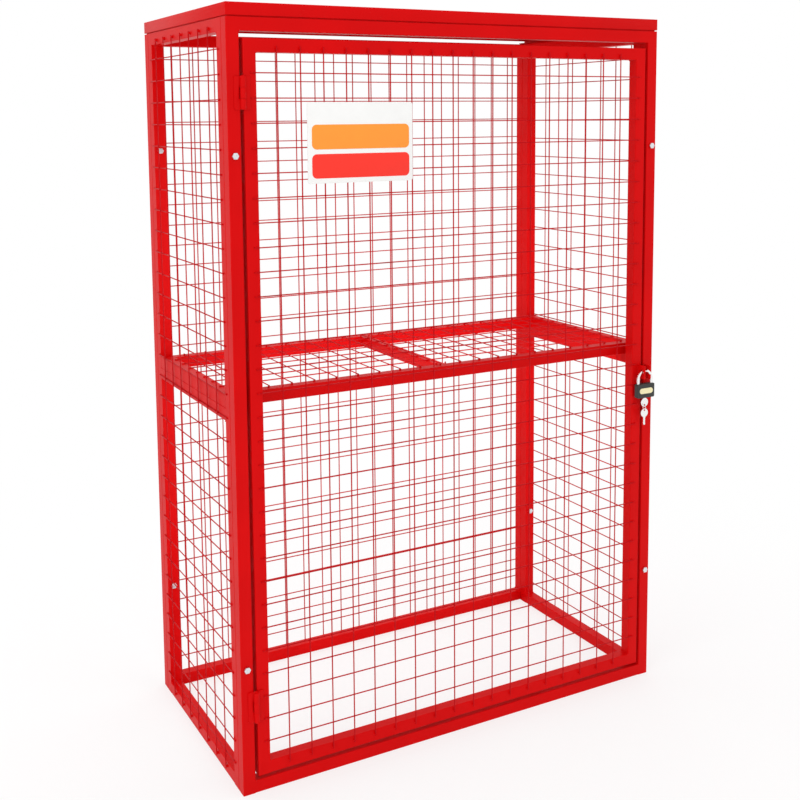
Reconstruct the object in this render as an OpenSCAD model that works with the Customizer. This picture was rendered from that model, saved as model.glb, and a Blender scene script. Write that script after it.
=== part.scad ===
// Gas cylinder cage: bolted mesh panels, a roof tray, a mid shelf and one full-height door.
// Origin: middle of the whole footprint, lock included, on the floor. X right, Y back, Z up.

/* [Cage] */
// Width over the frames
cage_w = 1200; // [900:10:1600]
// Depth over the frames
cage_d = 600; // [480:10:900]
// Height to the top of the roof
cage_h = 1800; // [1500:10:2200]
// Side of the square tube in every frame
tube = 30; // [25:1:40]
// Corner radius of the square tube
tube_r = 2; // [1:0.5:4]

/* [Roof] */
// Height of the roof tray's rim
rim_h = 28; // [20:1:40]
// Thickness of the roof sheet
sheet_t = 2; // [1.5:0.5:4]
// Height of the shadow line between the rim and the panels
roof_gap = 3; // [2:0.5:6]
// How far the shadow line is set back from the face
roof_setback = 5; // [3:1:12]
// Height of the roof tray's rear rim
rear_rim_h = 20; // [12:1:20]
// Width of the folded edge under the other three rims
fold_w = 22; // [15:1:25]

/* [Mesh] */
// Wire diameter
wire = 3; // [2.5:0.5:5]
// How deep crossing wires are welded into each other
weld_sink = 0.6; // [0.3:0.1:1]
// How far wire ends lie over the frame
wire_lap = 14; // [6:1:15]
// Upright wire spacing on the door
door_pitch = 56.5; // [45:0.1:80]
// First upright wire of the door, from the door's left stile
door_first = 47; // [15:0.5:60]
// Level wire spacing on the door
door_level_pitch = 54.65; // [45:0.05:80]
// First level wire of the door, from the door's bottom rail
door_level_first = 50.5; // [15:0.5:60]
// Upright wire spacing on the back
back_pitch = 59.3; // [45:0.1:80]
// First upright wire of the back, from the left stile
back_first = 40.5; // [15:0.5:60]
// Level wire spacing on the back
back_level_pitch = 54.6; // [45:0.1:80]
// First level wire of the back, from the bottom rail
back_level_first = 38.5; // [15:0.5:60]
// Upright wire spacing on the sides
side_pitch = 64.8; // [45:0.1:80]
// Level wire spacing on the sides
side_level_pitch = 54.8; // [45:0.1:80]
// First level wire of the sides, from the bottom rail
side_level_first = 28; // [15:0.5:60]
// Spacing of the shelf's wires that run front to back
shelf_pitch = 58; // [45:0.1:80]
// First of these wires, from the shelf frame's left end
shelf_first = 27; // [15:0.5:60]
// Spacing of the shelf's wires that run left to right
shelf_cross_pitch = 55.6; // [45:0.1:80]
// First of these wires, from the shelf frame's front tube
shelf_cross_first = 50.5; // [15:0.5:60]

/* [Shelf] */
// Height of the side panels' mid rail over the floor
mid_rail_z = 871; // [600:1:1100]
// Side of the square tube of the shelf's crossbar
crossbar = 26; // [20:1:30]
// How far the crossbar stands left of the middle
crossbar_shift = 14; // [0:1:60]

/* [Door] */
// Gap at the hinge side and the lock side
door_side_gap = 8; // [7:0.5:12]
// Gap over the door
door_top_gap = 15; // [8:0.5:25]
// Gap under the door
door_bottom_gap = 9; // [7:0.5:15]

/* [Hinges] */
// Length of a hinge
hinge_len = 72; // [60:1:100]
// Diameter of the hinge barrel
barrel_d = 13; // [12:0.5:16]
// Diameter of the hinge pin
pin_d = 6; // [5:0.5:8]
// Width of a hinge leaf
leaf_w = 14; // [12:1:16]
// Thickness of a hinge leaf
leaf_t = 3; // [2:0.5:4]
// Height of the lower hinge's middle over the floor
hinge_low_z = 211; // [150:1:400]
// Distance of the upper hinge's middle from the top
hinge_drop = 194; // [150:1:400]

/* [Lock] */
// Height of the lugs' eyes above the middle of the door, below it when negative
eye_off = -17; // [-200:1:200]
// Height of a lug
lug_h = 36; // [28:1:50]
// Thickness of a lug
lug_t = 4; // [3:0.5:5]
// Metal between a lug's eye and its front edge
lug_edge = 5; // [4:0.5:8]
// Diameter of a lug's eye
eye_d = 13; // [12.5:0.5:16]
// Diameter of the padlock's shackle
shackle_d = 8; // [6:0.5:8]
// Width of the padlock's body
lock_w = 57; // [54:1:70]
// Height of the padlock's body
lock_h = 38; // [32:1:50]
// Thickness of the padlock's body
lock_t = 13; // [12:1:20]
// Clear height between the body and the shackle's crown
shackle_clear = 30; // [26:1:60]
// Width of a key's bow
bow_d = 24; // [18:1:26]
// Thickness of a key
key_t = 2; // [1.5:0.5:3]
// Length of the spare key's blade
blade_l = 22; // [15:1:35]

/* [Sign] */
// Width of the sign plate
sign_w = 269; // [150:1:400]
// Height of the sign plate
sign_h = 182; // [100:5:300]
// Thickness of the sign plate
sign_t = 2; // [1:0.5:4]
// Distance of the sign from the door's left edge
sign_x = 146; // [60:1:400]
// Height of the sign's lower edge over the floor
sign_z = 1404; // [1100:1:1500]

/* [Hidden] */

// Number of sides that a wire has
wire_sides = 6;
// Running clearance of the hinge pin, on the radius
pin_clear = 0.1;
// Gap between neighbouring knuckles
knuckle_gap = 0.4;
// Gap between pieces that rest on each other without a weld
seat = 0.3;
// Number of segments of a round part
round_fn = 48;
// Gap between the door's wires and the padlock behind its body
lock_clear = 3.5;
// How far the door lug is set in from the door's edge
lug_inset = 7;
// Distance of a shackle leg's middle from the side of the padlock's body
leg_inset = 6;
// Depth of the shackle's sockets
socket_l = 12;
// Radius and wire of the ring that joins the keys
ring_r = 5.5;
ring_wire = 1.6;
// Diameter of the hole in a key's bow
key_eye_d = 5;
// How far the ring hangs below the middle of the upper key's hole, and the lower key below the ring
ring_drop = key_eye_d/2 - ring_wire/2 - 0.12;
// Thickness of the padlock's badge, its width and its height
badge_t = 1;
badge_w = 45;
badge_h = 15;
// Corner radius of the padlock's body
lock_r = 4;
// Width of a key's neck and blade
key_neck = 7;

panel_h = cage_h - rim_h - roof_gap;
door_x = tube + door_side_gap;
door_w = cage_w - 2*door_x;
door_z = tube + door_bottom_gap;
door_h = panel_h - tube - door_top_gap - door_z;
mesh_t = 2*wire - weld_sink;
shelf_z = mid_rail_z + tube;
shelf_d = cage_d - 4*tube;
eye_y = -(mesh_t + lock_clear + lock_t/2);
eye_z = door_z + door_h/2 + eye_off;
lug_reach = -eye_y + eye_d/2 + lug_edge;
post_lug_x = cage_w - tube;
door_lug_x = door_x + door_w - lug_t - lug_inset;
lock_x = (door_lug_x + post_lug_x + lug_t)/2;
crown_r = lock_w/2 - leg_inset;
crown_sag = crown_r - sqrt(pow(crown_r, 2) - pow(lock_x - door_lug_x - lug_t/2, 2));
crown_z = eye_z + crown_sag;
lock_top_z = crown_z - shackle_d/2 - shackle_clear;
lock_low_z = lock_top_z - lock_h;
key_z = lock_low_z - bow_d/2 - 2;
key_eye_off = bow_d/2 - key_eye_d/2 - 2.2;
ring_top_z = key_z - key_eye_off - ring_drop;
hinge_x = tube + door_side_gap/2;
hinge_y = -barrel_d/2 - 0.5;
shift = [-cage_w/2, -(cage_d + mesh_t - lug_reach)/2, 0];

red = [0.80, 0.05, 0.05];
steel = [0.75, 0.75, 0.77];
charcoal = [0.24, 0.26, 0.25];
brass = [0.90, 0.78, 0.45];

// Rectangle with rounded corners, its lower left corner at the origin
module rounded_rect(w, h, r) {
    translate([r, 0]) square([w - 2*r, h]);
    translate([0, r]) square([w, h - 2*r]);
    for (x = [r, w - r], y = [r, h - r]) translate([x, y]) circle(r = r, $fn = round_fn);
}

// Tubes along each axis, from their lowest corner
module tube_z(length) linear_extrude(length) rounded_rect(tube, tube, tube_r);
module tube_x(length) translate([0, tube, 0]) rotate([90, 0, 90])
    mirror([1, 0, 0]) linear_extrude(length) rounded_rect(tube, tube, tube_r);
module tube_y(length, side = tube) translate([0, length, 0]) rotate([90, 0, 0])
    linear_extrude(length) rounded_rect(side, side, tube_r);

// Welded frame in the XZ plane, tube deep in Y
module frame_xz(w, h) {
    for (x = [0, w - tube]) translate([x, 0, 0]) tube_z(h);
    for (z = [0, h - tube]) translate([tube - tube_r, 0, z]) tube_x(w - 2*tube + 2*tube_r);
}

// Welded side frame in the YZ plane with a mid rail under the shelf
module frame_yz(d, h) {
    for (y = [0, d - tube]) translate([0, y, 0]) tube_z(h);
    for (z = [0, mid_rail_z, h - tube])
        translate([0, tube - tube_r, z]) tube_y(d - 2*tube + 2*tube_r);
}

// Wires along X, Y and Z, each with an edge towards the frame that it is welded to
module wire_x(length) rotate([0, 90, 0]) rotate(90) cylinder(d = wire, h = length, $fn = wire_sides);
module wire_y(length) rotate([-90, 0, 0]) rotate(90) cylinder(d = wire, h = length, $fn = wire_sides);
module wire_z(length) rotate(90) cylinder(d = wire, h = length, $fn = wire_sides);

// Wire sheet in the XZ plane: level wires against the frame, upright wires in front of them
module wire_sheet(x0, x1, xs, z0, z1, zs) {
    for (z = zs) translate([x0, -wire/2, z]) wire_x(x1 - x0);
    for (x = xs) translate([x, -wire*1.5 + weld_sink, z0]) wire_z(z1 - z0);
}

// Positions from a first wire on, while they stay below a limit
function steps(first, pitch, last) = [for (v = first; v <= last; v = v + pitch) v];
// Positions spread from the middle outwards, with one in the middle
function centred(mid, pitch, half) =
    [for (i = [-floor(half/pitch) : floor(half/pitch)]) mid + i*pitch];

// Top sheet, rims, and a folded edge under the front and side rims; the rear rim is shorter
module roof_tray() color(red) {
    translate([0, 0, cage_h - sheet_t]) cube([cage_w, cage_d, sheet_t]);
    translate([0, cage_d - sheet_t, cage_h - rear_rim_h]) cube([cage_w, sheet_t, rear_rim_h]);
    translate([0, 0, cage_h - rim_h]) {
        cube([cage_w, sheet_t, rim_h]);
        cube([cage_w, fold_w, sheet_t]);
        for (x = [0, cage_w - sheet_t]) translate([x, 0, 0]) cube([sheet_t, cage_d, rim_h]);
        for (x = [0, cage_w - fold_w]) translate([x, 0, 0]) cube([fold_w, cage_d, sheet_t]);
    }
}

// Strip that the folded edge of the roof rests on, along the front and both sides
module roof_seat() color(red) translate([0, 0, panel_h]) {
    strip_w = fold_w - roof_setback;
    translate([roof_setback, roof_setback, 0]) cube([cage_w - 2*roof_setback, strip_w, roof_gap]);
    for (x = [roof_setback, cage_w - fold_w])
        translate([x, roof_setback, 0]) cube([strip_w, cage_d - 2*roof_setback, roof_gap]);
}

module front_frame() color(red) frame_xz(cage_w, panel_h);

module back_frame() color(red) translate([0, cage_d - tube, 0]) frame_xz(cage_w, panel_h);

module left_frame() color(red) translate([0, tube, 0]) frame_yz(cage_d - 2*tube, panel_h);

module right_frame() color(red)
    translate([cage_w - tube, tube, 0]) frame_yz(cage_d - 2*tube, panel_h);

side_ys = centred(cage_d/2, side_pitch, cage_d/2 - 2*tube - 8);
side_zs = steps(tube + side_level_first, side_level_pitch, panel_h - tube - 8);

module side_sheet() translate([0, cage_d, 0]) rotate([0, 0, -90])
    wire_sheet(2*tube - wire_lap, cage_d - 2*tube + wire_lap, side_ys,
        tube - wire_lap, panel_h - tube + wire_lap, side_zs);

module left_mesh() color(red) side_sheet();
module right_mesh() color(red) translate([cage_w, 0, 0]) mirror([1, 0, 0]) side_sheet();

back_xs = [for (x = steps(tube + back_first, back_pitch, cage_w - tube - 8)) cage_w - x];
back_zs = steps(tube + back_level_first, back_level_pitch, panel_h - tube - 8);
back_split_z = back_zs[floor(len(back_zs)/2)] - back_level_pitch/2;

module back_half(z0, z1) color(red)
    translate([cage_w, cage_d, 0]) rotate([0, 0, 180])
        wire_sheet(tube - wire_lap, cage_w - tube + wire_lap, back_xs, z0, z1,
            [for (z = back_zs) if (z > z0 && z < z1) z]);

module back_mesh_lower() back_half(tube - wire_lap, back_split_z - seat/2);
module back_mesh_upper() back_half(back_split_z + seat/2, panel_h - tube + wire_lap);

module shelf_frame() color(red) translate([0, 2*tube, shelf_z]) {
    for (y = [0, shelf_d - tube]) translate([tube - tube_r, y, 0]) tube_x(cage_w - 2*tube + 2*tube_r);
    for (x = [0, cage_w - tube]) translate([x, 0, 0]) tube_y(shelf_d);
}

crossbar_x = cage_w/2 - crossbar_shift;

module shelf_crossbar() color(red)
    translate([crossbar_x - crossbar/2, 3*tube, shelf_z + tube - crossbar])
        tube_y(shelf_d - 2*tube, crossbar);

shelf_xs = steps(tube + shelf_first, shelf_pitch, cage_w - tube - 8);
shelf_ys = steps(3*tube + shelf_cross_first, shelf_cross_pitch, cage_d - 3*tube - 8);

module shelf_half(x0, x1) color(red) translate([0, 0, shelf_z + tube]) {
    for (y = shelf_ys) translate([x0, y, wire/2]) rotate([90, 0, 0]) wire_x(x1 - x0);
    for (x = shelf_xs) if (x > x0 && x < x1)
        translate([x, 3*tube - wire_lap, wire*1.5 - weld_sink])
            wire_y(shelf_d - 2*tube + 2*wire_lap);
}

module shelf_mesh_left() shelf_half(tube - wire_lap, crossbar_x - 2);
module shelf_mesh_right() shelf_half(crossbar_x + 2, cage_w - tube + wire_lap);

module door_frame() color(red) translate([door_x, 0, door_z]) frame_xz(door_w, door_h);

door_xs = steps(door_x + tube + door_first, door_pitch, door_x + door_w - tube - 8);
door_zs = steps(door_z + tube + door_level_first, door_level_pitch, door_z + door_h - tube - 8);
door_split_z = door_zs[floor(len(door_zs)/2)] - door_level_pitch/2;

module door_half(z0, z1) color(red)
    wire_sheet(door_x + tube - wire_lap, door_x + door_w - tube + wire_lap, door_xs, z0, z1,
        [for (z = door_zs) if (z > z0 && z < z1) z]);

module door_mesh_lower() door_half(door_z + tube - wire_lap, door_split_z - seat/2);
module door_mesh_upper() door_half(door_split_z + seat/2, door_z + door_h - tube + wire_lap);

// One knuckle of a hinge, bored for the pin
module knuckle(z, length) translate([hinge_x, hinge_y, z]) difference() {
    cylinder(d = barrel_d, h = length, $fn = round_fn);
    translate([0, 0, -1]) cylinder(d = pin_d + 2*pin_clear, h = length + 2, $fn = round_fn);
}

// Room that a leaf leaves for the other leaf's knuckle
module knuckle_room(z, length) translate([hinge_x - barrel_d/2 - knuckle_gap, -leaf_t - 1, z - knuckle_gap])
    cube([barrel_d + 2*knuckle_gap, leaf_t + 2, length + 2*knuckle_gap]);

module knuckle_bore(z_mid) translate([hinge_x, hinge_y, z_mid - hinge_len])
    cylinder(d = barrel_d - 1, h = 2*hinge_len, $fn = round_fn);

// Leaf on the post with the two outer knuckles
module post_leaf(z_mid) color(red) {
    low_z = z_mid - hinge_len/2;
    end_len = hinge_len/3 - knuckle_gap;
    difference() {
        translate([tube - leaf_w, -leaf_t, low_z]) cube([leaf_w + door_side_gap/2, leaf_t, hinge_len]);
        knuckle_bore(z_mid);
        knuckle_room(low_z + hinge_len/3, hinge_len/3);
    }
    knuckle(low_z, end_len);
    knuckle(z_mid + hinge_len/2 - end_len, end_len);
}

// Leaf on the door with the middle knuckle
module door_leaf(z_mid) color(red) {
    low_z = z_mid - hinge_len/2;
    difference() {
        translate([hinge_x, -leaf_t, low_z]) cube([leaf_w + door_side_gap/2, leaf_t, hinge_len]);
        knuckle_bore(z_mid);
        knuckle_room(low_z - 1, hinge_len/3 + 1 - knuckle_gap);
        knuckle_room(low_z + 2*hinge_len/3 + knuckle_gap, hinge_len/3 + 1);
    }
    knuckle(low_z + hinge_len/3, hinge_len/3);
}

module hinge_pin(z_mid) color(steel) translate([hinge_x, hinge_y, z_mid - hinge_len/2]) {
    cylinder(d = pin_d, h = hinge_len, $fn = round_fn);
    translate([0, 0, hinge_len]) cylinder(d = pin_d + 3, h = 2, $fn = round_fn);
}

hinge_high_z = cage_h - hinge_drop;
module upper_hinge_post_leaf() post_leaf(hinge_high_z);
module upper_hinge_door_leaf() door_leaf(hinge_high_z);
module upper_hinge_pin() hinge_pin(hinge_high_z);
module lower_hinge_post_leaf() post_leaf(hinge_low_z);
module lower_hinge_door_leaf() door_leaf(hinge_low_z);
module lower_hinge_pin() hinge_pin(hinge_low_z);

// Lug plate in the YZ plane with its eye, open to the front where slotted
module lug(x, slotted) color(red) translate([x, 0, eye_z]) difference() {
    translate([0, -lug_reach, -lug_h/2]) cube([lug_t, lug_reach, lug_h]);
    translate([-1, eye_y, 0]) rotate([0, 90, 0]) cylinder(d = eye_d, h = lug_t + 2, $fn = round_fn);
    if (slotted) translate([-1, -lug_reach - 1, -eye_d/2])
        cube([lug_t + 2, lug_reach + eye_y + 1, eye_d]);
}

module door_lug() lug(door_lug_x, false);
module post_lug() lug(post_lug_x, true);

module padlock_body() color(charcoal) translate([lock_x, eye_y, lock_low_z]) difference() {
    translate([-lock_w/2, lock_t/2, 0]) rotate([90, 0, 0]) linear_extrude(lock_t)
        rounded_rect(lock_w, lock_h, lock_r);
    for (x = [-crown_r, crown_r]) translate([x, 0, lock_h - socket_l])
        cylinder(d = shackle_d + 2*seat, h = socket_l + 1, $fn = round_fn);
}

module padlock_shackle() color(steel) translate([lock_x, eye_y, 0]) {
    leg_top = crown_z - crown_r;
    for (x = [-crown_r, crown_r]) translate([x, 0, lock_top_z - socket_l])
        cylinder(d = shackle_d, h = leg_top - lock_top_z + socket_l, $fn = round_fn);
    translate([0, 0, leg_top]) rotate([90, 0, 0]) rotate_extrude(angle = 180, $fn = 96)
        translate([crown_r, 0]) circle(d = shackle_d, $fn = round_fn);
}

module padlock_badge() color(brass)
    translate([lock_x, eye_y - lock_t/2, lock_low_z + lock_h/2]) rotate([90, 0, 0])
        linear_extrude(badge_t) {
            square([badge_w - badge_h, badge_h], center = true);
            for (x = [-1, 1]) translate([x*(badge_w - badge_h)/2, 0]) circle(d = badge_h, $fn = round_fn);
        }

// Round key bow in the XZ plane, with its eye above or below the middle
module key_bow(eye_off) difference() {
    circle(d = bow_d, $fn = round_fn);
    translate([0, eye_off]) circle(d = key_eye_d, $fn = round_fn);
}

module lock_key() color(steel) translate([lock_x, eye_y + key_t/2, key_z]) rotate([90, 0, 0])
    linear_extrude(key_t) {
        key_bow(-key_eye_off);
        translate([-key_neck/2, bow_d/2 - 1]) square([key_neck, 3]);
    }

module key_link() color(steel) translate([lock_x, eye_y, ring_top_z - ring_r])
    rotate([90, 0, 90]) rotate_extrude($fn = 64)
        translate([ring_r, 0]) circle(d = ring_wire, $fn = 24);

module spare_key() color(steel)
    translate([lock_x, eye_y + key_t/2, ring_top_z - 2*ring_r - ring_drop - key_eye_off]) rotate([90, 0, 0])
        linear_extrude(key_t) {
            key_bow(key_eye_off);
            translate([-key_neck/2, -bow_d/2 - blade_l]) square([key_neck, blade_l + 2]);
        }

module sign_plate() color("white")
    translate([door_x + sign_x, -mesh_t - seat - sign_t, sign_z]) cube([sign_w, sign_t, sign_h]);

translate(shift) {
    roof_tray();
    roof_seat();
    front_frame();
    back_frame();
    left_frame();
    right_frame();
    left_mesh();
    right_mesh();
    back_mesh_upper();
    back_mesh_lower();
    shelf_frame();
    shelf_crossbar();
    shelf_mesh_left();
    shelf_mesh_right();
    door_frame();
    door_mesh_upper();
    door_mesh_lower();
    upper_hinge_post_leaf();
    upper_hinge_door_leaf();
    upper_hinge_pin();
    lower_hinge_post_leaf();
    lower_hinge_door_leaf();
    lower_hinge_pin();
    post_lug();
    door_lug();
    padlock_body();
    padlock_shackle();
    padlock_badge();
    lock_key();
    key_link();
    spare_key();
    sign_plate();
}
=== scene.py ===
import math

import bmesh
import bpy
from mathutils import Matrix, Vector


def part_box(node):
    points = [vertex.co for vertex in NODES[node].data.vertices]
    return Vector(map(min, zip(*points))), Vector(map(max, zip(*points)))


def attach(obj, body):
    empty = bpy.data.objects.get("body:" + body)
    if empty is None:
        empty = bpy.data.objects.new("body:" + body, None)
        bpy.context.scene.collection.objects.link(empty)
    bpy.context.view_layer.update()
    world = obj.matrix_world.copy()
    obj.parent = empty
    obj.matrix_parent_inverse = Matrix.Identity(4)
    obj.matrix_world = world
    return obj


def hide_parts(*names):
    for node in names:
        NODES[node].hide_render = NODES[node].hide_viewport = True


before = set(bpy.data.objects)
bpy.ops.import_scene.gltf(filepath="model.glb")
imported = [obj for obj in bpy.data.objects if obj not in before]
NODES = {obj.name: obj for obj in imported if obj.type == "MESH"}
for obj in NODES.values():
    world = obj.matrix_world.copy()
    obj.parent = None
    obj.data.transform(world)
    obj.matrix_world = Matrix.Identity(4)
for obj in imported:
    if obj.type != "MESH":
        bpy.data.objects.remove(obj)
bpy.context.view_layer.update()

bl_info = {
    "name": "Gas Cylinder Cage",
    "version": (1, 0, 0),
    "blender": (4, 5, 0),
    "location": "3D View > Sidebar > Cage",
    "description": "Finishes and fits out a welded mesh cage for gas cylinders and sets its stage",
    "category": "Object",
}

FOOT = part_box("front_frame")[0]
FRONT_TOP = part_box("front_frame")[1]
TUBE = 0.030
LENGTH = {"unit": "LENGTH", "subtype": "DISTANCE"}

ON_CAGE = ["roof_seat", "front_frame", "back_frame", "left_frame", "right_frame", "shelf_frame", "shelf_crossbar"]
SHEETS = ["left_mesh", "right_mesh", "back_mesh_upper", "back_mesh_lower",
          "shelf_mesh_left", "shelf_mesh_right", "door_mesh_upper", "door_mesh_lower"]
HINGE_PARTS = ["post_leaf", "door_leaf", "pin"]


def linear(hex_colour):
    """Linear RGBA of an sRGB hex colour"""
    parts = [int(hex_colour[i:i + 2], 16) / 255 for i in (0, 2, 4)]
    return tuple(c / 12.92 if c <= 0.04045 else ((c + 0.055) / 1.055) ** 2.4 for c in parts) + (1.0,)


def colour(name, hex_colour, description):
    """A colour property with its default given as a hex value"""
    return bpy.props.FloatVectorProperty(
        name=name, description=description, subtype="COLOR", size=4, min=0, max=1, default=linear(hex_colour))


class CageCoatSettings(bpy.types.PropertyGroup):
    coat: colour("Coat", "D40507", "Colour of the powder coat")
    # The wires carry the same red coat as the frames; their darker colour is painted shade for the shade that falls on
    # the thin round wires
    wire: colour("Wire coat", "BE0A12", "Colour of the coat on the thin wires, where it looks darker")
    roughness: bpy.props.FloatProperty(
        name="Roughness", description="Roughness of the powder coat", default=0.42, min=0, max=1, subtype="FACTOR")
    peel: bpy.props.FloatProperty(
        name="Orange peel", description="Depth of the coat's orange peel", default=0.0001, min=0, **LENGTH)


class CageFittingSettings(bpy.types.PropertyGroup):
    zinc: colour("Zinc", "E4E8EC", "Colour of the plated bolts and nuts")
    across_flats: bpy.props.FloatProperty(
        name="Across flats", description="Width of a bolt head", default=0.0138, min=0.008, **LENGTH)
    head: bpy.props.FloatProperty(
        name="Head height", description="Height of a bolt head", default=0.0056, min=0.002, **LENGTH)
    shank: bpy.props.FloatProperty(
        name="Shank", description="Diameter of the thread that ends in the nut", default=0.008, min=0.004, **LENGTH)
    upper: bpy.props.FloatProperty(
        name="Upper bolts", description="Height of the upper bolts over the floor", default=1.470, **LENGTH)
    lower: bpy.props.FloatProperty(
        name="Lower bolts", description="Height of the lower bolts over the floor", default=0.302, **LENGTH)
    bead: bpy.props.FloatProperty(
        name="Weld bead", description="Width of a weld bead in a corner of the tubes", default=0.0045, min=0.001, **LENGTH)
    spot: bpy.props.FloatProperty(
        name="Weld spot", description="Width of the weld over a wire's end", default=0.0052, min=0.001, **LENGTH)


class CageSignSettings(bpy.types.PropertyGroup):
    plate: colour("Plate", "F4F4F2", "Colour of the sign plate")
    upper_bar: colour("Upper bar", "FF9A35", "Colour of the blank upper bar")
    lower_bar: colour("Lower bar", "FB3325", "Colour of the blank lower bar")
    corner: bpy.props.FloatProperty(
        name="Corner", description="Corner radius of the bars", default=0.0115, min=0.001, **LENGTH)


class CageLockSettings(bpy.types.PropertyGroup):
    body: colour("Body", "2C2E2C", "Colour of the padlock's coated body")
    badge: colour("Badge", "F9EEC0", "Colour of the padlock's badge")
    steel: colour("Steel", "F4F4F3", "Colour of the shackle and the keys")


class CageStageSettings(bpy.types.PropertyGroup):
    floor: colour("Floor", "F6F6F6", "Colour of the floor")
    lens: bpy.props.FloatProperty(
        name="Lens", description="Focal length on a sensor 36 mm wide", default=50.9, min=10, unit="CAMERA")
    key: bpy.props.FloatProperty(
        name="Key", description="Power of the lamp at the left; the others follow it", default=32, min=0, unit="POWER")
    ambient: bpy.props.FloatProperty(
        name="Ambient", description="Strength of the even light from all sides", default=0.90, min=0)


def settings():
    return bpy.context.scene.cage


class CageSettings(bpy.types.PropertyGroup):
    coat: bpy.props.PointerProperty(name="Coat", description="Powder coat", type=CageCoatSettings)
    fitting: bpy.props.PointerProperty(name="Fittings", description="Bolts and welds", type=CageFittingSettings)
    sign: bpy.props.PointerProperty(name="Sign", description="Sign plate", type=CageSignSettings)
    lock: bpy.props.PointerProperty(name="Lock", description="Padlock and keys", type=CageLockSettings)
    stage: bpy.props.PointerProperty(name="Stage", description="Floor, light and camera", type=CageStageSettings)


def add_node(tree, kind, inputs=None, **values):
    """Adds a node, sets its values, and sets or links its inputs"""
    node = tree.nodes.new(kind)
    for key, value in values.items():
        setattr(node, key, value)
    for key, value in (inputs or {}).items():
        if isinstance(value, bpy.types.NodeSocket):
            tree.links.new(value, node.inputs[key])
        else:
            node.inputs[key].default_value = value
    return node


def start_material(name):
    material = bpy.data.materials.get(name)
    if material:
        return material, None
    material = bpy.data.materials.new(name)
    material.use_nodes = True
    material.node_tree.nodes.clear()
    return material, material.node_tree


def end_material(material, tree, tone, inputs):
    shader = add_node(tree, "ShaderNodeBsdfPrincipled", inputs)
    add_node(tree, "ShaderNodeOutputMaterial", {"Surface": shader.outputs["BSDF"]})
    material.diffuse_color = tone
    return material


def shaded(tone, factor):
    """The same colour, lighter or darker"""
    return tuple(min(1.0, c * factor) for c in tone[:3]) + (1.0,)


def between(tree, value, low, high):
    """A ramp from one colour to another by a value"""
    ramp = add_node(tree, "ShaderNodeValToRGB", {"Fac": value})
    ramp.color_ramp.elements[0].position, ramp.color_ramp.elements[1].position = 0.3, 0.7
    ramp.color_ramp.elements[0].color, ramp.color_ramp.elements[1].color = low, high
    return ramp.outputs["Color"]


def powder_coat(name="powder_coat_red", peel_scale=260.0, tone=None):
    """Polyester powder coat, sprayed dry and baked: one even red, half gloss, with a faint orange peel"""
    material, tree = start_material(name)
    if tree is None:
        return material
    coat = settings().coat
    tone = tone or coat.coat
    place = add_node(tree, "ShaderNodeTexCoord").outputs["Object"]
    # Thicker and thinner coat over 120 mm or so, a shade lighter or darker
    clouds = add_node(tree, "ShaderNodeTexNoise", {"Vector": place, "Scale": 8.0, "Detail": 3.0})
    # Orange peel is 1 to 3 mm wide; here 4 mm, so that it shows
    peel = add_node(tree, "ShaderNodeTexNoise", {"Vector": place, "Scale": peel_scale, "Detail": 2.0})
    gloss = add_node(tree, "ShaderNodeMapRange", {
        "Value": peel.outputs["Fac"], "To Min": coat.roughness - 0.06, "To Max": coat.roughness + 0.06})
    bump = add_node(tree, "ShaderNodeBump", {
        "Height": peel.outputs["Fac"], "Strength": 1.0, "Distance": coat.peel})
    return end_material(material, tree, tone, {
        "Base Color": between(tree, clouds.outputs["Fac"], shaded(tone, 0.955), shaded(tone, 1.03)),
        "Roughness": gloss.outputs["Result"], "Specular IOR Level": 0.07, "Normal": bump.outputs["Normal"]})


def bright_zinc():
    """Zinc plating on steel bolts: bright, bluish, with a soft bloom where the bath left it thicker"""
    material, tree = start_material("bright_zinc_plate")
    if tree is None:
        return material
    zinc = settings().fitting.zinc
    place = add_node(tree, "ShaderNodeTexCoord").outputs["Object"]
    bloom = add_node(tree, "ShaderNodeTexNoise", {"Vector": place, "Scale": 300.0, "Detail": 4.0})
    gloss = add_node(tree, "ShaderNodeMapRange", {
        "Value": bloom.outputs["Fac"], "To Min": 0.2, "To Max": 0.42})
    return end_material(material, tree, zinc, {
        "Base Color": between(tree, bloom.outputs["Fac"], shaded(zinc, 0.88), shaded(zinc, 1.08)),
        "Metallic": 1.0, "Roughness": gloss.outputs["Result"]})


def polished_steel(name, tone, roughness, grain):
    """Chromed or nickelled steel, polished along Z: bright, with very fine drawn marks"""
    material, tree = start_material(name)
    if tree is None:
        return material
    place = add_node(tree, "ShaderNodeTexCoord").outputs["Object"]
    drawn = add_node(tree, "ShaderNodeMapping", {"Vector": place, "Scale": (grain, grain, grain / 12)})
    marks = add_node(tree, "ShaderNodeTexNoise", {"Vector": drawn.outputs["Vector"], "Scale": 1.0, "Detail": 3.0})
    gloss = add_node(tree, "ShaderNodeMapRange", {
        "Value": marks.outputs["Fac"], "To Min": roughness * 0.6, "To Max": roughness * 1.5})
    bump = add_node(tree, "ShaderNodeBump", {
        "Height": marks.outputs["Fac"], "Strength": 1.0, "Distance": 0.000008})
    return end_material(material, tree, tone, {
        "Base Color": tone, "Metallic": 1.0, "Roughness": gloss.outputs["Result"], "Normal": bump.outputs["Normal"]})


def black_lock_coat():
    """Baked black enamel on a cast padlock body: charcoal, dull, with the casting's fine grit under it"""
    material, tree = start_material("black_cast_enamel")
    if tree is None:
        return material
    tone = settings().lock.body
    place = add_node(tree, "ShaderNodeTexCoord").outputs["Object"]
    # Grit of a casting is 0.3 mm or so; here 1 mm, so that it shows
    grit = add_node(tree, "ShaderNodeTexNoise", {"Vector": place, "Scale": 1000.0, "Detail": 3.0})
    bump = add_node(tree, "ShaderNodeBump", {"Height": grit.outputs["Fac"], "Strength": 1.0, "Distance": 0.00006})
    return end_material(material, tree, tone, {
        "Base Color": between(tree, grit.outputs["Fac"], shaded(tone, 0.85), shaded(tone, 1.12)),
        "Roughness": 0.5, "Normal": bump.outputs["Normal"]})


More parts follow.
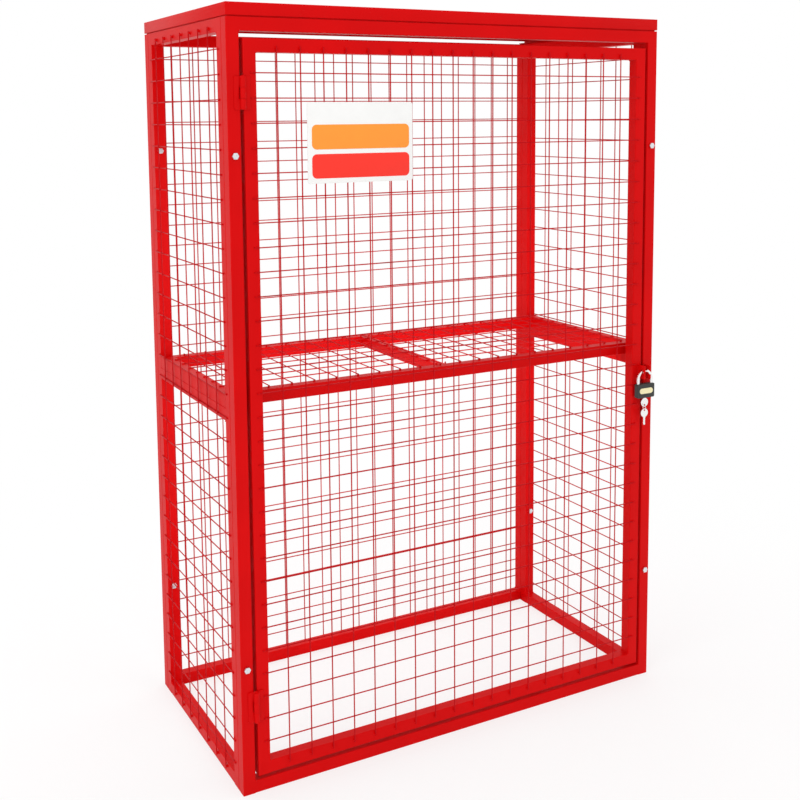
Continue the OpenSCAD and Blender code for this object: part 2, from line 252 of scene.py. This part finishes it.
def brushed_brass():
    """Lacquered brass sheet, brushed along X: pale gold with level scratches"""
    material, tree = start_material("brushed_brass")
    if tree is None:
        return material
    tone = settings().lock.badge
    place = add_node(tree, "ShaderNodeTexCoord").outputs["Object"]
    # Brush marks 0.4 mm apart and 12 mm long
    along = add_node(tree, "ShaderNodeMapping", {"Vector": place, "Scale": (80.0, 2500.0, 2500.0)})
    marks = add_node(tree, "ShaderNodeTexNoise", {"Vector": along.outputs["Vector"], "Scale": 1.0, "Detail": 2.0})
    gloss = add_node(tree, "ShaderNodeMapRange", {"Value": marks.outputs["Fac"], "To Min": 0.25, "To Max": 0.5})
    bump = add_node(tree, "ShaderNodeBump", {"Height": marks.outputs["Fac"], "Strength": 1.0, "Distance": 0.00002})
    return end_material(material, tree, tone, {
        "Base Color": between(tree, marks.outputs["Fac"], shaded(tone, 0.9), shaded(tone, 1.08)),
        "Metallic": 0.85, "Roughness": gloss.outputs["Result"], "Normal": bump.outputs["Normal"]})


def printed_plastic(name, tone):
    """Hard vinyl sheet or film, calendered: flat colour with a satin face and a slight ripple"""
    material, tree = start_material(name)
    if tree is None:
        return material
    place = add_node(tree, "ShaderNodeTexCoord").outputs["Object"]
    # Ripple of the rolled sheet, 25 mm long
    ripple = add_node(tree, "ShaderNodeTexNoise", {"Vector": place, "Scale": 40.0, "Detail": 2.0})
    # Satin grain, 1.5 mm
    grain = add_node(tree, "ShaderNodeTexNoise", {"Vector": place, "Scale": 650.0, "Detail": 2.0})
    gloss = add_node(tree, "ShaderNodeMapRange", {"Value": grain.outputs["Fac"], "To Min": 0.38, "To Max": 0.55})
    bump = add_node(tree, "ShaderNodeBump", {"Height": ripple.outputs["Fac"], "Strength": 1.0, "Distance": 0.0002})
    return end_material(material, tree, tone, {
        "Base Color": between(tree, ripple.outputs["Fac"], shaded(tone, 0.975), shaded(tone, 1.0)),
        "Roughness": gloss.outputs["Result"], "Specular IOR Level": 0.3, "Normal": bump.outputs["Normal"]})


def at(x, y, z):
    """The point x, y and z millimetres from the cage's front left foot"""
    return FOOT + Vector((x, y, z)) / 1000


def let_go():
    """Leaves edit mode and deselects everything"""
    if bpy.context.object and bpy.context.object.mode != "OBJECT":
        bpy.ops.object.mode_set(mode="OBJECT")
    bpy.ops.object.select_all(action="DESELECT")


def hold(piece):
    """Makes the piece the only one selected, and active"""
    let_go()
    piece.select_set(True)
    bpy.context.view_layer.objects.active = piece
    return piece


def pick(piece, kind, test):
    """Opens the piece in edit mode with only the faces or edges selected that pass the test"""
    hold(piece)
    bpy.ops.object.mode_set(mode="EDIT")
    bpy.ops.mesh.select_mode(type={"faces": "FACE", "edges": "EDGE", "verts": "VERT"}[kind])
    bpy.ops.mesh.select_all(action="DESELECT")
    mesh = bmesh.from_edit_mesh(piece.data)
    found = [part for part in getattr(mesh, kind) if test(part)]
    if not found:
        raise RuntimeError(f"{piece.name} has no such {kind}")
    for part in found:
        part.select_set(True)
    mesh.select_flush_mode()
    bmesh.update_edit_mesh(piece.data)


def facing(direction, least=0.95):
    """A test for faces that look in a direction"""
    way = Vector(direction)
    return lambda face: face.normal.dot(way) > least


def along(direction):
    """A test for edges that run along a direction"""
    way = Vector(direction)
    return lambda edge: abs((edge.verts[1].co - edge.verts[0].co).normalized().dot(way)) > 0.99


def shrink_apply(piece, kind, **values):
    """Adds a modifier with its values and applies it"""
    hold(piece)
    modifier = piece.modifiers.new(kind.title(), kind)
    for key, value in values.items():
        setattr(modifier, key, value)
    bpy.ops.object.modifier_apply(modifier=modifier.name)


def block(low, high):
    """A block between two corners"""
    let_go()
    low, high = Vector(low), Vector(high)
    bpy.ops.mesh.primitive_cube_add(size=1, location=(low + high) / 2)
    piece = bpy.context.object
    piece.scale = high - low
    bpy.ops.object.transform_apply(location=True, rotation=True, scale=True)
    return piece


def round_bar(centre, radius, length, axis, sides=32):
    """A bar round an axis, X, Y or Z"""
    let_go()
    turn = {"X": (0, math.pi / 2, 0), "Y": (math.pi / 2, 0, 0), "Z": (0, 0, 0)}[axis]
    bpy.ops.mesh.primitive_cylinder_add(
        vertices=sides, radius=radius, depth=length, location=centre, rotation=turn)
    piece = bpy.context.object
    bpy.ops.object.transform_apply(location=True, rotation=True, scale=True)
    return piece


def copy_of(piece, shift=(0, 0, 0), turn=None):
    """A copy with its own mesh, turned about the origin and then shifted"""
    twin = bpy.data.objects.new(piece.name, piece.data.copy())
    bpy.context.scene.collection.objects.link(twin)
    move = Matrix.Translation(Vector(shift))
    twin.data.transform(move @ turn if turn else move)
    return twin


def cad_copy(node):
    """A copy of a CAD node, its loose triangles merged and its flat faces made whole"""
    let_go()
    piece = copy_of(NODES[node])
    hold(piece)
    bpy.ops.object.mode_set(mode="EDIT")
    bpy.ops.mesh.select_all(action="SELECT")
    bpy.ops.mesh.remove_doubles(threshold=0.00001)
    bpy.ops.mesh.dissolve_limited(angle_limit=math.radians(0.5))
    bpy.ops.object.mode_set(mode="OBJECT")
    return piece


def joined(pieces):
    let_go()
    for piece in pieces:
        piece.select_set(True)
    bpy.context.view_layer.objects.active = pieces[0]
    bpy.ops.object.join()
    return bpy.context.object


def soften(piece, width, segments=2, limit=40):
    """Rounds the sharp edges and smooths what is round"""
    shrink_apply(piece, "BEVEL", width=width, segments=segments, limit_method="ANGLE",
                 angle_limit=math.radians(limit), use_clamp_overlap=True)
    smooth(piece)


def smooth(piece, angle=35):
    hold(piece)
    bpy.ops.object.shade_smooth_by_angle(angle=math.radians(angle))


def placed(piece, name, body, material, nodes=()):
    """Names a finished piece, gives it its material and its body"""
    let_go()
    piece.name = piece.data.name = name
    piece.data.materials.clear()
    piece.data.materials.append(material)
    for polygon in piece.data.polygons:
        polygon.material_index = 0
    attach(piece, body)
    if nodes:
        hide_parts(*nodes)
    return piece


class CAGE_OT_stage(bpy.types.Operator):
    """Floor, background, lamps and camera"""
    bl_idname = "cage.stage"
    bl_label = "Set the stage"

    def execute(self, context):
        stage = settings().stage
        let_go()
        bpy.ops.mesh.primitive_plane_add(size=60, location=(0, 0, 0))
        floor = context.object
        floor.name = "floor"
        floor.data.materials.append(self.floor_paint(stage.floor))
        self.surroundings(stage.ambient)
        self.lamp("key_lamp", (-4.6, -2.2, 3.0), stage.key, 3.0)
        self.lamp("front_lamp", (-1.6, -4.4, 1.7), stage.key * 0.35, 2.4)
        self.lamp("top_lamp", (0.0, 0.2, 5.2), stage.key * 2.0, 4.5)
        # Lights the inner faces, which the frames in front of them would leave dull
        self.lamp("inner_lamp", (0.0, -0.2, 0.9), stage.key * 0.12, 1.1)
        self.camera(stage.lens)
        context.scene.view_settings.view_transform = "Standard"
        return {"FINISHED"}

    def seen(self, tree):
        """One for rays from the camera and for reflections, else none"""
        path = add_node(tree, "ShaderNodeLightPath")
        total = add_node(tree, "ShaderNodeMath", {
            0: path.outputs["Is Camera Ray"], 1: path.outputs["Is Glossy Ray"]}, operation="MAXIMUM")
        total = add_node(tree, "ShaderNodeMath", {
            0: total.outputs[0], 1: path.outputs["Is Transmission Ray"]}, operation="MAXIMUM")
        return total.outputs[0]

    def floor_paint(self, tone):
        """Matt white studio floor that keeps the cage's shadow and fades into the background"""
        material, tree = start_material("matt_studio_floor")
        place = add_node(tree, "ShaderNodeTexCoord").outputs["Object"]
        distance = add_node(tree, "ShaderNodeVectorMath", {0: place}, operation="LENGTH")
        fade = add_node(tree, "ShaderNodeMapRange", {
            "Value": distance.outputs["Value"], "From Min": 0.8, "From Max": 2.4, "To Min": 0.7}, interpolation_type="SMOOTHSTEP")
        far = add_node(tree, "ShaderNodeMath", {0: fade.outputs[0], 1: self.seen(tree)}, operation="MULTIPLY")
        # Fine dust and roller marks of the paint, 6 mm
        grain = add_node(tree, "ShaderNodeTexNoise", {"Vector": place, "Scale": 160.0})
        matt = add_node(tree, "ShaderNodeBsdfDiffuse", {
            "Color": between(tree, grain.outputs["Fac"], shaded(tone, 0.995), tone)})
        glow = add_node(tree, "ShaderNodeEmission", {"Color": (1, 1, 1, 1), "Strength": 1.0})
        mix = add_node(tree, "ShaderNodeMixShader", {
            0: far.outputs[0], 1: matt.outputs[0], 2: glow.outputs[0]})
        add_node(tree, "ShaderNodeOutputMaterial", {"Surface": mix.outputs[0]})
        return material

    def surroundings(self, ambient):
        world = bpy.data.worlds.new("studio")
        bpy.context.scene.world = world
        world.use_nodes = True
        tree = world.node_tree
        tree.nodes.clear()
        strength = add_node(tree, "ShaderNodeMapRange", {
            "Value": self.seen(tree), "To Min": ambient, "To Max": 1.0})
        sky = add_node(tree, "ShaderNodeBackground", {
            "Color": (1, 1, 1, 1), "Strength": strength.outputs["Result"]})
        add_node(tree, "ShaderNodeOutputWorld", {"Surface": sky.outputs[0]})

    def lamp(self, name, place, power, size):
        """A square soft lamp that looks at the middle of the cage"""
        let_go()
        bpy.ops.object.light_add(type="AREA", location=place)
        lamp = bpy.context.object
        lamp.name = name
        lamp.data.energy, lamp.data.size = power, size
        lamp.rotation_euler = (Vector((0, 0, 0.9)) - Vector(place)).to_track_quat("-Z", "Y").to_euler()
        lamp.visible_glossy = lamp.visible_camera = False

    def camera(self, lens):
        """Stands at the photograph's viewpoint, left of the cage and 1.55 m up"""
        let_go()
        yaw, pitch, roll = 0.49417, 0.10865, -0.00888
        ahead = Vector((math.sin(yaw) * math.cos(pitch), math.cos(yaw) * math.cos(pitch), -math.sin(pitch)))
        right = Vector((math.cos(yaw), -math.sin(yaw), 0))
        up = right.cross(ahead)
        side = math.cos(roll) * right + math.sin(roll) * up
        top = math.cos(roll) * up - math.sin(roll) * right
        bpy.ops.object.camera_add()
        camera = bpy.context.object
        camera.name = "camera"
        camera.matrix_world = Matrix.Translation(at(-859.9, -2317.6, 1551.3)) @ Matrix(
            (side, top, -ahead)).transposed().to_4x4()
        camera.data.lens = lens
        camera.data.sensor_width = 36
        camera.data.shift_x, camera.data.shift_y = 0.01534, -0.19933
        bpy.context.scene.camera = camera


class CAGE_OT_coat(bpy.types.Operator):
    """Powder coat on the welded frames"""
    bl_idname = "cage.coat"
    bl_label = "Coat the frames"

    def execute(self, context):
        coat = powder_coat()
        for name in ON_CAGE + ["door_frame"]:
            data = NODES[name].data
            data.materials.clear()
            data.materials.append(coat)
        return {"FINISHED"}


class CAGE_OT_roof(bpy.types.Operator):
    """Roof tray with its bent edges"""
    bl_idname = "cage.roof"
    bl_label = "Bend the roof tray"

    def execute(self, context):
        tray = cad_copy("roof_tray")
        soften(tray, 0.0008, 2)
        placed(tray, "bent_roof_tray", "cage", powder_coat(), ["roof_tray"])
        return {"FINISHED"}


class CAGE_OT_wires(bpy.types.Operator):
    """Wires of the welded sheets, six-sided in their mesh and shaded smooth"""
    bl_idname = "cage.wires"
    bl_label = "Round the wires"

    def execute(self, context):
        for name in SHEETS:
            sheet = cad_copy(name)
            smooth(sheet, 65)
            body = "door" if name.startswith("door") else "cage"
            # The wires' darker coat colour is painted shade, not a different coat
            coat = powder_coat("powder_coat_wire", 400.0, settings().coat.wire)
            placed(sheet, name + "_wires", body, coat, [name])
        return {"FINISHED"}


class CAGE_OT_spots(bpy.types.Operator):
    """Weld spots that hold the wires' ends on the tubes"""
    bl_idname = "cage.spots"
    bl_label = "Weld the wires on"

    def dome(self, width):
        """A low dome on the plane Z 0 with a shallow crater, as a spot weld leaves"""
        let_go()
        bpy.ops.mesh.primitive_uv_sphere_add(segments=8, ring_count=6, radius=width / 2, location=(0, 0, 0))
        dome = bpy.context.object
        hold(dome)
        bpy.ops.object.mode_set(mode="EDIT")
        bpy.ops.mesh.select_all(action="SELECT")
        bpy.ops.mesh.bisect(plane_co=(0, 0, -width * 0.1), plane_no=(0, 0, 1), use_fill=True, clear_inner=True)
        bpy.ops.object.mode_set(mode="OBJECT")
        top = max(vertex.co.z for vertex in dome.data.vertices)
        pick(dome, "verts", lambda vertex: vertex.co.z > top - width * 0.001)
        bpy.ops.transform.translate(value=(0, 0, -width * 0.13))
        bpy.ops.object.mode_set(mode="OBJECT")
        smooth(dome, 60)
        return dome

    def ends(self, node, axis, side):
        """Middles of the wire ends at one side of a sheet of wires"""
        corners = [vertex.co.copy() for vertex in NODES[node].data.vertices]
        reach = max(side * corner[axis] for corner in corners)
        groups = []
        for corner in corners:
            if side * corner[axis] < reach - 0.0002:
                continue
            for group in groups:
                if (group[0] - corner).length < 0.004:
                    group.append(corner)
                    break
            else:
                groups.append([corner])
        return [sum(group, Vector()) / len(group) for group in groups]

    def execute(self, context):
        dome = self.dome(settings().fitting.spot)
        front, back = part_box("front_frame"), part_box("back_frame")
        shelf_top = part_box("shelf_frame")[1].z
        # Each sheet with the direction out of its tubes, the tubes' face, and the sides where wires end on tubes
        sheets = {
            "door_mesh_upper": ((0, -1, 0), front[0].y, ((0, -1), (0, 1), (2, 1))),
            "door_mesh_lower": ((0, -1, 0), front[0].y, ((0, -1), (0, 1), (2, -1))),
            "back_mesh_upper": ((0, 1, 0), back[1].y, ((0, -1), (0, 1), (2, 1))),
            "back_mesh_lower": ((0, 1, 0), back[1].y, ((0, -1), (0, 1), (2, -1))),
            "left_mesh": ((-1, 0, 0), front[0].x, ((1, -1), (1, 1), (2, -1), (2, 1))),
            "right_mesh": ((1, 0, 0), front[1].x, ((1, -1), (1, 1), (2, -1), (2, 1))),
            "shelf_mesh_left": ((0, 0, 1), shelf_top, ((0, -1), (0, 1), (1, -1), (1, 1))),
            "shelf_mesh_right": ((0, 0, 1), shelf_top, ((0, -1), (0, 1), (1, -1), (1, 1)))}
        for node, (out, face, sides) in sheets.items():
            out = Vector(out)
            spots = []
            for axis, side in sides:
                for end in self.ends(node, axis, side):
                    run = Vector([side if i == axis else 0 for i in range(3)])
                    lift = end.dot(out) - abs(face) if out.dot((1, 1, 1)) < 0 else end.dot(out) - face
                    place = end - run * 0.004 - out * lift
                    turn = Matrix((run, out.cross(run), out)).transposed().to_4x4()
                    shape = Matrix.Diagonal((1.5, 1.0, (lift + 0.0019) / (settings().fitting.spot / 2), 1))
                    spots.append(copy_of(dome, place, turn @ shape))
            body = "door" if node.startswith("door") else "cage"
            placed(joined(spots), node + "_weld_spots", body, powder_coat())
        bpy.data.objects.remove(dome)
        return {"FINISHED"}


class CAGE_OT_beads(bpy.types.Operator):
    """Weld beads in the corners of the tubes and along the hinges and lugs"""
    bl_idname = "cage.beads"
    bl_label = "Lay the weld beads"

    def bead(self, width, length):
        """A bead along Z from the plane Z 0, rippled where the puddle froze"""
        let_go()
        step = width * 0.55
        bpy.ops.mesh.primitive_uv_sphere_add(segments=10, ring_count=6, radius=width / 2, location=(0, 0, step / 2))
        bead = bpy.context.object
        hold(bead)
        bpy.ops.object.transform_apply(location=True, rotation=False, scale=False)
        bead.data.transform(Matrix.Rotation(math.radians(20), 4, "Y"))
        shrink_apply(bead, "ARRAY", count=max(2, round(length / step)), use_relative_offset=False,
                     use_constant_offset=True, constant_offset_displace=(0, 0, step))
        smooth(bead, 60)
        return bead

    def frame_corners(self, node, through, rails=()):
        """Inner corners of a frame of tubes, each at the frame's low side on the axis through it"""
        low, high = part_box(node)
        first, second = [axis for axis in range(3) if axis != through]
        levels = [low[second] + TUBE, high[second] - TUBE]
        for rail in rails:
            levels += [rail, rail + TUBE]
        for place in (low[first] + TUBE, high[first] - TUBE):
            for level in levels:
                corner = Vector()
                corner[through], corner[first], corner[second] = low[through], place, level
                yield corner

    def execute(self, context):
        width = settings().fitting.bead
        corner = self.bead(width, TUBE)
        along_x = Matrix.Rotation(math.radians(90), 4, "Y")
        along_y = Matrix.Rotation(math.radians(-90), 4, "X")
        upright = Matrix.Identity(4)
        mid_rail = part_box("shelf_frame")[0].z - TUBE
        laid = {"cage": [], "door": []}
        for node, body in (("front_frame", "cage"), ("back_frame", "cage"), ("door_frame", "door")):
            laid[body] += [copy_of(corner, spot, along_y) for spot in self.frame_corners(node, 1)]
        for node in ("left_frame", "right_frame"):
            laid["cage"] += [copy_of(corner, spot, along_x) for spot in self.frame_corners(node, 0, (mid_rail,))]
        laid["cage"] += [copy_of(corner, spot, upright) for spot in self.frame_corners("shelf_frame", 2)]
        bar_low, bar_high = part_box("shelf_crossbar")
        laid["cage"] += [copy_of(corner, (x, y, bar_low.z), upright)
                         for x in (bar_low.x, bar_high.x) for y in (bar_low.y, bar_high.y)]
        for level in ("upper", "lower"):
            for part, body, end in (("post_leaf", "cage", 0), ("door_leaf", "door", 1)):
                low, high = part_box(f"{level}_hinge_{part}")
                edge = self.bead(width * 0.8, (high.z - low.z) * 0.9)
                x = (low, high)[end].x
                laid[body].append(copy_of(edge, (x, FOOT.y - 0.0006, low.z + 0.003)))
                bpy.data.objects.remove(edge)
        for node, body in (("post_lug", "cage"), ("door_lug", "door")):
            low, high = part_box(node)
            edge = self.bead(width * 0.8, (high.z - low.z) * 0.9)
            for x in (low.x, high.x):
                laid[body].append(copy_of(edge, (x, FOOT.y, low.z + 0.001)))
            bpy.data.objects.remove(edge)
        for body, beads in laid.items():
            placed(joined(beads), body + "_weld_beads", body, powder_coat())
        bpy.data.objects.remove(corner)
        return {"FINISHED"}


class CAGE_OT_bolts(bpy.types.Operator):
    """Hexagon bolts and nuts that hold the panels together"""
    bl_idname = "cage.bolts"
    bl_label = "Fit the bolts"

    def hexagon(self, width, height):
        """A hexagon on Y, from the plane Y 0 forwards, its corners left and right and its rim chamfered"""
        let_go()
        bpy.ops.mesh.primitive_cylinder_add(
            vertices=6, radius=width / math.sqrt(3), depth=height, location=(0, 0, 0), end_fill_type="NGON")
        head = context_object()
        bpy.ops.object.transform_apply(location=True, rotation=True, scale=True)
        head.data.transform(Matrix.Rotation(math.radians(90), 4, "X") @ Matrix.Rotation(math.radians(90), 4, "Z"))
        head.data.transform(Matrix.Translation((0, -height / 2, 0)))
        pick(head, "faces", facing((0, -1, 0)))
        bpy.ops.mesh.inset(thickness=width * 0.1, depth=0)
        bpy.ops.transform.translate(value=(0, -width * 0.045, 0))
        bpy.ops.object.mode_set(mode="OBJECT")
        shrink_apply(head, "BEVEL", width=width * 0.018, segments=2, limit_method="ANGLE",
                     angle_limit=math.radians(20))
        return head

    def execute(self, context):
        fitting = settings().fitting
        head = self.hexagon(fitting.across_flats, fitting.head - 0.0014)
        head.data.transform(Matrix.Translation((0, -0.0006, 0)))
        face = round_bar((0, -0.0003, 0), fitting.across_flats * 0.47, 0.0006, "Y")
        bolt = joined([head, face])
        smooth(bolt, 25)
        nut = self.hexagon(fitting.across_flats, fitting.shank * 0.8)
        shank = round_bar((0, -fitting.shank * 0.55, 0), fitting.shank / 2, fitting.shank * 1.1, "Y")
        pick(shank, "edges", lambda edge: all(v.co.y < -fitting.shank for v in edge.verts))
        bpy.ops.mesh.bevel(offset=0.001, segments=1)
        bpy.ops.object.mode_set(mode="OBJECT")
        nut = joined([nut, shank])
        smooth(nut, 25)
        width = (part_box("front_frame")[1] - FOOT).x * 1000
        depth = (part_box("back_frame")[1] - FOOT).y * 1000
        tube = TUBE * 1000
        round_back = Matrix.Rotation(math.pi, 4, "Z")
        for side, x in (("left", tube / 2), ("right", width - tube / 2)):
            for level, z in (("upper", fitting.upper * 1000), ("lower", fitting.lower * 1000)):
                for end, front, back in (("front", 0, 2 * tube), ("rear", depth - 2 * tube, depth)):
                    if (side, level, end) == ("right", "upper", "rear"):
                        continue
                    parts = [copy_of(bolt, at(x, front, z)), copy_of(nut, at(x, back, z), round_back)]
                    placed(joined(parts), f"{side}_{end}_{level}_bolt", "cage", bright_zinc())
        for spare in (bolt, nut):
            bpy.data.objects.remove(spare)
        return {"FINISHED"}


def context_object():
    return bpy.context.object


class CAGE_OT_sign(bpy.types.Operator):
    """Sign plate with two blank bars"""
    bl_idname = "cage.sign"
    bl_label = "Hang the sign"

    def rounded_plate(self, low, high, radius, edge):
        """A plate in the XZ plane with round corners and softened edges"""
        plate = block(low, high)
        pick(plate, "edges", along((0, 1, 0)))
        bpy.ops.mesh.bevel(offset=radius, segments=8)
        bpy.ops.object.mode_set(mode="OBJECT")
        soften(plate, edge, 2, 60)
        return plate

    def execute(self, context):
        sign = settings().sign
        low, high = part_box("sign_plate")
        plate = self.rounded_plate(low, high, 0.006, 0.0004)
        placed(plate, "sign_board", "door", printed_plastic("white_vinyl_board", sign.plate), ["sign_plate"])
        film = 0.0004
        for name, x0, x1, z0, z1, tone in (
                ("upper_sign_bar", 0.0106, 0.2594, 0.0765, 0.1320, sign.upper_bar),
                ("lower_sign_bar", 0.0105, 0.2598, 0.0113, 0.0660, sign.lower_bar)):
            bar = self.rounded_plate((low.x + x0, low.y - film, low.z + z0),
                                     (low.x + x1, low.y + film, low.z + z1), sign.corner, 0.00015)
            placed(bar, name, "door", printed_plastic(name + "_film", tone))
        return {"FINISHED"}


class CAGE_OT_hinges(bpy.types.Operator):
    """Hinges, pins and the two lugs"""
    bl_idname = "cage.hinges"
    bl_label = "Finish the hinges"

    def execute(self, context):
        for level in ("upper", "lower"):
            for part in HINGE_PARTS:
                node = f"{level}_hinge_{part}"
                piece = cad_copy(node)
                soften(piece, 0.0005, 2)
                body = "door" if part == "door_leaf" else "cage"
                placed(piece, node + "_finished", body, powder_coat(), [node])
        for node, body in (("post_lug", "cage"), ("door_lug", "door")):
            piece = cad_copy(node)
            soften(piece, 0.0007, 2)
            placed(piece, node + "_finished", body, powder_coat(), [node])
        return {"FINISHED"}


class CAGE_OT_padlock(bpy.types.Operator):
    """Padlock with its shackle, badge and keyway"""
    bl_idname = "cage.padlock"
    bl_label = "Finish the padlock"

    def execute(self, context):
        lock = settings().lock
        body = cad_copy("padlock_body")
        soften(body, 0.0011, 3)
        placed(body, "padlock_case", "padlock", black_lock_coat(), ["padlock_body"])
        shackle = cad_copy("padlock_shackle")
        smooth(shackle, 50)
        chrome = polished_steel("chromed_shackle_steel", lock.steel, 0.12, 900.0)
        placed(shackle, "chromed_shackle", "padlock", chrome, ["padlock_shackle"])
        badge = cad_copy("padlock_badge")
        pick(badge, "faces", facing((0, -1, 0)))
        bpy.ops.mesh.inset(thickness=0.0011, depth=0)
        bpy.ops.transform.translate(value=(0, 0.0005, 0))
        bpy.ops.object.mode_set(mode="OBJECT")
        soften(badge, 0.0002, 2, 40)
        placed(badge, "rimmed_badge", "padlock", brushed_brass(), ["padlock_badge"])
        low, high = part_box("padlock_body")
        centre = (low + high) / 2
        plug = round_bar((centre.x, centre.y, low.z), 0.0052, 0.0012, "Z", 40)
        soften(plug, 0.0003, 2)
        placed(plug, "keyway_plug", "padlock", chrome)
        return {"FINISHED"}


class CAGE_OT_keys(bpy.types.Operator):
    """Key in the lock, ring and spare key"""
    bl_idname = "cage.keys"
    bl_label = "Cut the keys"

    def cut(self, key):
        """Cuts teeth of different depths into the blade's right edge and tapers its tip"""
        low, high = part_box("spare_key")
        middle = (low.x + high.x) / 2
        edge = middle + 0.0034
        depths = (0.0, 0.0012, 0.0004, 0.0016, 0.0008, 0.0002, 0.0014, 0.0)
        pitch = 0.0022
        for step, depth in enumerate(depths):
            level = low.z + 0.004 + step * pitch
            pick(key, "faces", lambda face: True)
            bpy.ops.mesh.bisect(plane_co=(middle, low.y, level), plane_no=(0, 0, 1))
            bpy.ops.object.mode_set(mode="OBJECT")
        for step, depth in enumerate(depths):
            level = low.z + 0.004 + step * pitch
            pick(key, "verts", lambda vertex: abs(vertex.co.z - level) < 0.0001 and vertex.co.x > edge)
            bpy.ops.transform.translate(value=(-depth, 0, 0))
            bpy.ops.object.mode_set(mode="OBJECT")
        pick(key, "verts", lambda vertex: vertex.co.z < low.z + 0.0001 and vertex.co.x > middle)
        bpy.ops.transform.translate(value=(-0.0026, 0, 0))
        bpy.ops.object.mode_set(mode="OBJECT")
        pick(key, "verts", lambda vertex: vertex.co.z < low.z + 0.0001 and vertex.co.x < middle - 0.003)
        bpy.ops.transform.translate(value=(0.0014, 0, 0.0014))
        bpy.ops.object.mode_set(mode="OBJECT")

    def stamp(self, key):
        """Sinks both flat sides a little inside a plain rim"""
        for side in (-1, 1):
            pick(key, "faces", facing((0, side, 0)))
            bpy.ops.mesh.inset(thickness=0.0009, depth=0)
            bpy.ops.transform.translate(value=(0, -side * 0.00025, 0))
            bpy.ops.object.mode_set(mode="OBJECT")

    def execute(self, context):
        nickel = polished_steel("nickelled_key_steel", settings().lock.steel, 0.2, 1500.0)
        for node in ("lock_key", "spare_key"):
            key = cad_copy(node)
            if node == "spare_key":
                self.cut(key)
            self.stamp(key)
            soften(key, 0.0003, 2)
            placed(key, node + "_cut", "padlock", nickel, [node])
        ring = cad_copy("key_link")
        smooth(ring, 50)
        placed(ring, "key_ring", "padlock", nickel, ["key_link"])
        return {"FINISHED"}


class CAGE_PT_panel(bpy.types.Panel):
    bl_label = "Cage"
    bl_idname = "CAGE_PT_panel"
    bl_space_type = "VIEW_3D"
    bl_region_type = "UI"
    bl_category = "Cage"

    def draw(self, context):
        for group in ("coat", "fitting", "sign", "lock", "stage"):
            box = self.layout.box()
            values = getattr(context.scene.cage, group)
            for key in values.__annotations__:
                box.prop(values, key)
        for operator in OPERATORS:
            self.layout.operator(operator.bl_idname)


OPERATORS = (CAGE_OT_stage, CAGE_OT_coat, CAGE_OT_roof, CAGE_OT_wires, CAGE_OT_spots, CAGE_OT_beads, CAGE_OT_bolts,
             CAGE_OT_sign, CAGE_OT_hinges, CAGE_OT_padlock, CAGE_OT_keys)
CLASSES = (CageCoatSettings, CageFittingSettings, CageSignSettings, CageLockSettings, CageStageSettings,
           CageSettings) + OPERATORS + (CAGE_PT_panel,)


def register():
    for item in CLASSES:
        bpy.utils.register_class(item)
    bpy.types.Scene.cage = bpy.props.PointerProperty(name="Cage", description="Cage settings", type=CageSettings)


def unregister():
    del bpy.types.Scene.cage
    for item in reversed(CLASSES):
        bpy.utils.unregister_class(item)


def main():
    register()
    for operator in OPERATORS:
        group, name = operator.bl_idname.split(".")
        getattr(getattr(bpy.ops, group), name)()


if __name__ == "__main__":
    main()
